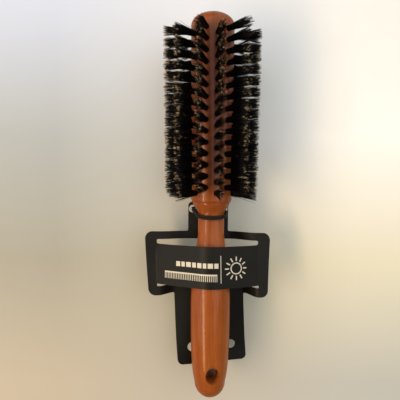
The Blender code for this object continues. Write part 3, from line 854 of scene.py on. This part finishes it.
def ink_patch(vertices, faces, corners, pieces=MARK_PIECES):
    """A four-sided mark, from its corners in order, as a thin slab that follows the strip."""
    a, b, c, d = [Vector(corner) for corner in corners]
    first = len(vertices)
    for lift in (INK_LIFT, INK_LIFT + INK_THICKNESS):
        for i in range(pieces + 1):
            near, far = a.lerp(b, i / pieces), d.lerp(c, i / pieces)
            vertices.append(tuple(ink_place(near.x, near.y, lift)))
            vertices.append(tuple(ink_place(far.x, far.y, lift)))
    top = first + 2 * (pieces + 1)
    for i in range(pieces):
        k = 2 * i
        faces.append((top + k, top + k + 2, top + k + 3, top + k + 1))
        faces.append((first + k, first + k + 1, first + k + 3, first + k + 2))
        faces.append((first + k, first + k + 2, top + k + 2, top + k))
        faces.append((first + k + 1, top + k + 1, top + k + 3, first + k + 3))
    end = 2 * pieces
    faces.append((first, top, top + 1, first + 1))
    faces.append((first + end, first + end + 1, top + end + 1, top + end))


def ink_bar(vertices, faces, x, y, width, height, pieces=MARK_PIECES):
    """An upright oblong mark, from its lower left corner."""
    right, top = x + width, y + height
    ink_patch(vertices, faces, ((x, y), (right, y), (right, top), (x, top)), pieces)


vertices, faces = [], []
dash_left = DASHES_LEFT
for width in DASH_WIDTHS:
    ink_bar(vertices, faces, dash_left, DASHES_Y, width, DASH_HEIGHT)
    dash_left += width + DASH_GAP
ink_bar(vertices, faces, COMB_LEFT, COMB_TOP - COMB_SPINE, COMB_WIDTH, COMB_SPINE, SPINE_PIECES)
for i in range(TEETH):
    tooth = COMB_LEFT + (COMB_WIDTH - TOOTH_WIDTH) * i / (TEETH - 1)
    ink_bar(vertices, faces, tooth, COMB_TOP - COMB_SPINE - TOOTH_LENGTH, TOOTH_WIDTH, TOOTH_LENGTH)
ink_bar(vertices, faces, RULE_X, RULE_Y, RULE_WIDTH, RULE_LENGTH)
centre = Vector((RING_X, RING_Y))
for i in range(RING_PIECES):
    turns = [2 * math.pi * (i + k) / RING_PIECES for k in (0, 1)]
    start, end = [Vector((math.cos(turn), math.sin(turn))) for turn in turns]
    corners = (centre + start * RING_INNER, centre + start * RING_OUTER,
               centre + end * RING_OUTER, centre + end * RING_INNER)
    ink_patch(vertices, faces, corners, pieces=1)
for i in range(TICKS):
    turn = 2 * math.pi * i / TICKS
    out = Vector((math.cos(turn), math.sin(turn)))
    side = Vector((-out.y, out.x)) * TICK_HALF_WIDTH
    inner, outer = centre + out * TICK_INNER, centre + out * TICK_OUTER
    ink_patch(vertices, faces, (inner - side, outer - side, outer + side, inner + side), pieces=2)
ink = piece_from("card_printing", vertices, faces, ink_finish())
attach(ink, "card")

# ---- Elastic loop --------------------------------------------------------------------------
# Dark braided elastic, doubled. It goes over the neck, down through the stem's two holes and
# across behind the stem, where its ends are crimped together.
STRAND_RADIUS = 0.00062
STRAND_OFFSET = 0.00066
STRAND_SIDES = 12
BRAID_DEPTH = 0.07
BRAID_LOBES = 4
BRAID_TWIST = 0.9
ROUTE_STEPS = 16
NECK_ANGLES = (30, 60, 90)  # degrees round the neck from its top, to either side
# (inwards from the hole, share of the way down to the card)
HANGING_KNOTS = ((0.0003, 0.45), (0.0, 0.85))
THROUGH_CARD = 0.0008
TURN_INWARDS = 0.0018
ELASTIC_RADIUS = 0.0010
ELASTIC_FRONT_Y = -0.0048
GAP = 0.0003
SLEEVE_OUTER_RADIUS = 0.0019
SLEEVE_LENGTH = 0.0060
ELASTIC_BACK = -(CARD_UNDER_AXIS + CARD_THICKNESS / 2 + GAP + SLEEVE_OUTER_RADIUS)
BRAID_BLACK = (0.0035, 0.0032, 0.0030)
BRAID_BROWN = (0.020, 0.017, 0.013)


def elastic_route(steps):
    """Closed route: over the neck, down through the two holes and across behind the stem."""
    front = NECK_RADIUS + GAP + ELASTIC_RADIUS
    below = -CARD_UNDER_AXIS
    side = [(front * math.sin(math.radians(a)), front * math.cos(math.radians(a))) for a in NECK_ANGLES]
    side += [(ELASTIC_HOLE_X - inwards, below * share) for inwards, share in HANGING_KNOTS]
    side += [
        (ELASTIC_HOLE_X, below - THROUGH_CARD),
        (ELASTIC_HOLE_X - TURN_INWARDS, ELASTIC_BACK),
        (SLEEVE_LENGTH / 2, ELASTIC_BACK),
    ]
    knots = []
    for x, z in [(0.0, front)] + side + [(-x, z) for x, z in reversed(side)]:
        down = between(z, front, below, 0.0, 1.0)
        y = ELASTIC_FRONT_Y + (ELASTIC_HOLE_Y - ELASTIC_FRONT_Y) * down
        knots.append(Vector((x + CARD_SHIFT * smooth_step(-z / CARD_UNDER_AXIS), y, z)))
    count = len(knots)
    route = []
    for i in range(count):
        around = [knots[i - 1], knots[i], knots[(i + 1) % count], knots[(i + 2) % count]]
        route += [spline_point(*around, step / steps) for step in range(steps)]
    return route


def elastic_finish():
    material, tree, shader, place = new_finish("elastic_braid")
    weave = noise(tree, place, scale=2600, detail=3.0)
    colour = blend_colours(tree, remap(tree, weave, 0.35, 0.65, 0.0, 1.0), BRAID_BLACK, BRAID_BROWN)
    tree.links.new(colour, shader.inputs["Base Color"])
    shader.inputs["Roughness"].default_value = 0.62
    shader.inputs["Specular IOR Level"].default_value = 0.15
    add_bump(tree, shader, weave, 0.00008, 0.8)
    return material


vertices, faces = [], []
route = elastic_route(ROUTE_STEPS)
count = len(route)
for strand in (-1, 1):
    first = len(vertices)
    for i in range(count):
        ahead = (route[(i + 1) % count] - route[i - 1]).normalized()
        side = Vector((0.0, 1.0, 0.0))
        side = (side - ahead * side.dot(ahead)).normalized()
        up = ahead.cross(side)
        centre = route[i] + side * STRAND_OFFSET * strand
        for k in range(STRAND_SIDES):
            turn = 2 * math.pi * k / STRAND_SIDES
            forth = math.sin(BRAID_LOBES * turn + i * BRAID_TWIST)
            back = math.sin(BRAID_LOBES * turn - i * BRAID_TWIST)
            braid = 1.0 + BRAID_DEPTH * forth * back
            out = side * math.cos(turn) + up * math.sin(turn)
            vertices.append(tuple(centre + out * STRAND_RADIUS * braid))
    for i in range(count):
        low, high = first + i * STRAND_SIDES, first + (i + 1) % count * STRAND_SIDES
        for k in range(STRAND_SIDES):
            j = (k + 1) % STRAND_SIDES
            faces.append((low + k, low + j, high + j, high + k))
elastic = piece_from("elastic_strands", vertices, faces, elastic_finish())
elastic.data.shade_smooth()
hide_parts("elastic_loop")
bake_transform(elastic)

# ---- Elastic's sleeve ----------------------------------------------------------------------
# A short round tube of soft grey metal behind the stem, crimped on the elastic's two ends.
# It is rubbed dull lengthwise.
SLEEVE_DULL = (0.52, 0.52, 0.53)
SLEEVE_BRIGHT = (0.72, 0.72, 0.73)


def sleeve_finish():
    material, tree, shader, place = new_finish("sleeve_metal")
    rub = noise(tree, place, scale=3000, detail=4.0, stretch=(0.2, 1.0, 1.0))
    tree.links.new(blend_colours(tree, rub, SLEEVE_DULL, SLEEVE_BRIGHT), shader.inputs["Base Color"])
    tree.links.new(remap(tree, rub, 0.3, 0.7, 0.28, 0.5), shader.inputs["Roughness"])
    shader.inputs["Metallic"].default_value = 1.0
    return material


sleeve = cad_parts["elastic_sleeve"]
sleeve.data.materials.clear()
sleeve.data.materials.append(sleeve_finish())

# ---- Table ---------------------------------------------------------------------------------
# A plain pale table top of matt paint, which the brush lies on. Its colour turns from a cool white
# beyond the head to a warm beige below the tail, and is paler on the right: this gradient is painted light
# and shade.
TABLE_HALF = 3
TABLE_DROP = 0.0002  # so that nothing that rests on it cuts into it
TABLE_TOP_Y = 0.135
TABLE_BOTTOM_Y = -0.125
TABLE_SIDE_X = 0.105
# painted light and shade: the table's colours down its left and right edges, dimmer where less light falls
# from top to bottom, at even steps
TABLE_LEFT_PAINTED_LIGHT = ((0.57, 0.63, 0.75), (0.39, 0.42, 0.42), (0.34, 0.33, 0.27), (0.46, 0.41, 0.32))
TABLE_RIGHT_PAINTED_LIGHT = ((0.81, 0.82, 0.79), (0.92, 0.92, 0.88), (0.73, 0.69, 0.52), (0.48, 0.48, 0.43))
TABLE_MOTTLE = (0.5, 0.45, 0.36)


def table_finish():
    material, tree, shader, place = new_finish("table_top")
    split = add_node(tree, "ShaderNodeSeparateXYZ", {"Vector": place})
    down = remap(tree, split.outputs["Y"], TABLE_TOP_Y, TABLE_BOTTOM_Y, 0.0, 1.0)
    right = remap(tree, split.outputs["X"], -TABLE_SIDE_X, TABLE_SIDE_X, 0.0, 1.0)
    sides = []
    for colours in (TABLE_LEFT_PAINTED_LIGHT, TABLE_RIGHT_PAINTED_LIGHT):
        ramp = add_node(tree, "ShaderNodeValToRGB", {"Fac": down})
        for i, colour in enumerate(colours):
            stop = ramp.color_ramp.elements[i] if i < 2 else ramp.color_ramp.elements.new(1.0)
            stop.position = i / (len(colours) - 1)
            stop.color = (*colour, 1.0)
        sides.append(ramp.outputs["Color"])
    colour = blend_colours(tree, right, sides[0], sides[1])
    mottle = noise(tree, place, scale=25, detail=2.0)
    colour = blend_colours(tree, remap(tree, mottle, 0.3, 0.7, 0.0, 0.06), colour, TABLE_MOTTLE)
    tree.links.new(colour, shader.inputs["Base Color"])
    shader.inputs["Roughness"].default_value = 0.6
    shader.inputs["Specular IOR Level"].default_value = 0.2
    return material


table_corners = [(x * TABLE_HALF, y * TABLE_HALF, 0) for x, y in ((-1, -1), (1, -1), (1, 1), (-1, 1))]
table = piece_from("table_top", table_corners, [(0, 1, 2, 3)], table_finish())
table.location = (0.0, 0.0, -TABLE_DROP)
table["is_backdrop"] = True

# ---- Lights --------------------------------------------------------------------------------
# One broad soft light from the right, a weaker and cooler one from the left, and a narrow
# warm strip lamp on the left towards the tail, which draws a fine shine along the handle.
ROOM_COLOUR = (0.93, 0.95, 1.0, 1.0)
ROOM_STRENGTH = 0.08
# (name, bearing from the head and height in degrees, distance, size, power, colour)
LIGHTS = [
    ("right_light", (52, 46), 1.6, (3.0, 3.0), 43.0, (1.0, 0.98, 0.95)),
    ("left_light", (-76, 36), 1.6, (2.6, 1.9), 23.0, (0.96, 0.96, 0.98)),
    ("lamp", (-112, 45), 0.9, (0.80, 0.12), 5.0, (1.0, 0.70, 0.38)),
]


def area_light(name, direction, distance, size, power, colour):
    """A soft light that faces the brush from a bearing and a height."""
    bearing, height = math.radians(direction[0]), math.radians(direction[1])
    level = math.cos(height)
    towards = Vector((math.sin(bearing) * level, math.cos(bearing) * level, math.sin(height)))
    data = bpy.data.lights.new(name, "AREA")
    data.shape = "RECTANGLE"
    data.size, data.size_y = size
    data.energy = power
    data.color = colour
    light = bpy.data.objects.new(name, data)
    light.location = AXIS + towards * distance
    light.rotation_mode = "QUATERNION"
    light.rotation_quaternion = towards.to_track_quat("Z", "Y")
    bpy.context.scene.collection.objects.link(light)


for light in LIGHTS:
    area_light(*light)

world = bpy.data.worlds.new("room")
world.use_nodes = True
room = world.node_tree.nodes["Background"]
room.inputs["Color"].default_value = ROOM_COLOUR
room.inputs["Strength"].default_value = ROOM_STRENGTH
bpy.context.scene.world = world

# ---- Camera --------------------------------------------------------------------------------
# It looks almost straight down on the brush from close by, tilted a little towards the tail,
# with the handle at the bottom of its frame.
CAMERA_DISTANCE = 0.2420
CAMERA_TILT = math.radians(3.0)
CAMERA_ROLL = math.radians(0.45)
CAMERA_AIM = Vector((-0.0070, 0.0055, 0.0))  # beside the turning axis
CAMERA_LENS = 35.1
CAMERA_SENSOR = 36.0
CAMERA_NEAR = 0.01
aim = AXIS + CAMERA_AIM
camera_data = bpy.data.cameras.new("camera")
camera_data.sensor_width = CAMERA_SENSOR
camera_data.lens = CAMERA_LENS
camera_data.clip_start = CAMERA_NEAR
camera = bpy.data.objects.new("camera", camera_data)
bpy.context.scene.collection.objects.link(camera)
back = Vector((0.0, math.sin(CAMERA_TILT), math.cos(CAMERA_TILT)))
camera.location = aim + back * CAMERA_DISTANCE
camera.rotation_mode = "QUATERNION"
upright = Matrix.Rotation(-CAMERA_TILT, 4, "X").to_quaternion()
camera.rotation_quaternion = upright @ Matrix.Rotation(CAMERA_ROLL, 4, "Z").to_quaternion()
bpy.context.scene.camera = camera
bpy.context.scene.view_settings.view_transform = "Standard"

low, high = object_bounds()
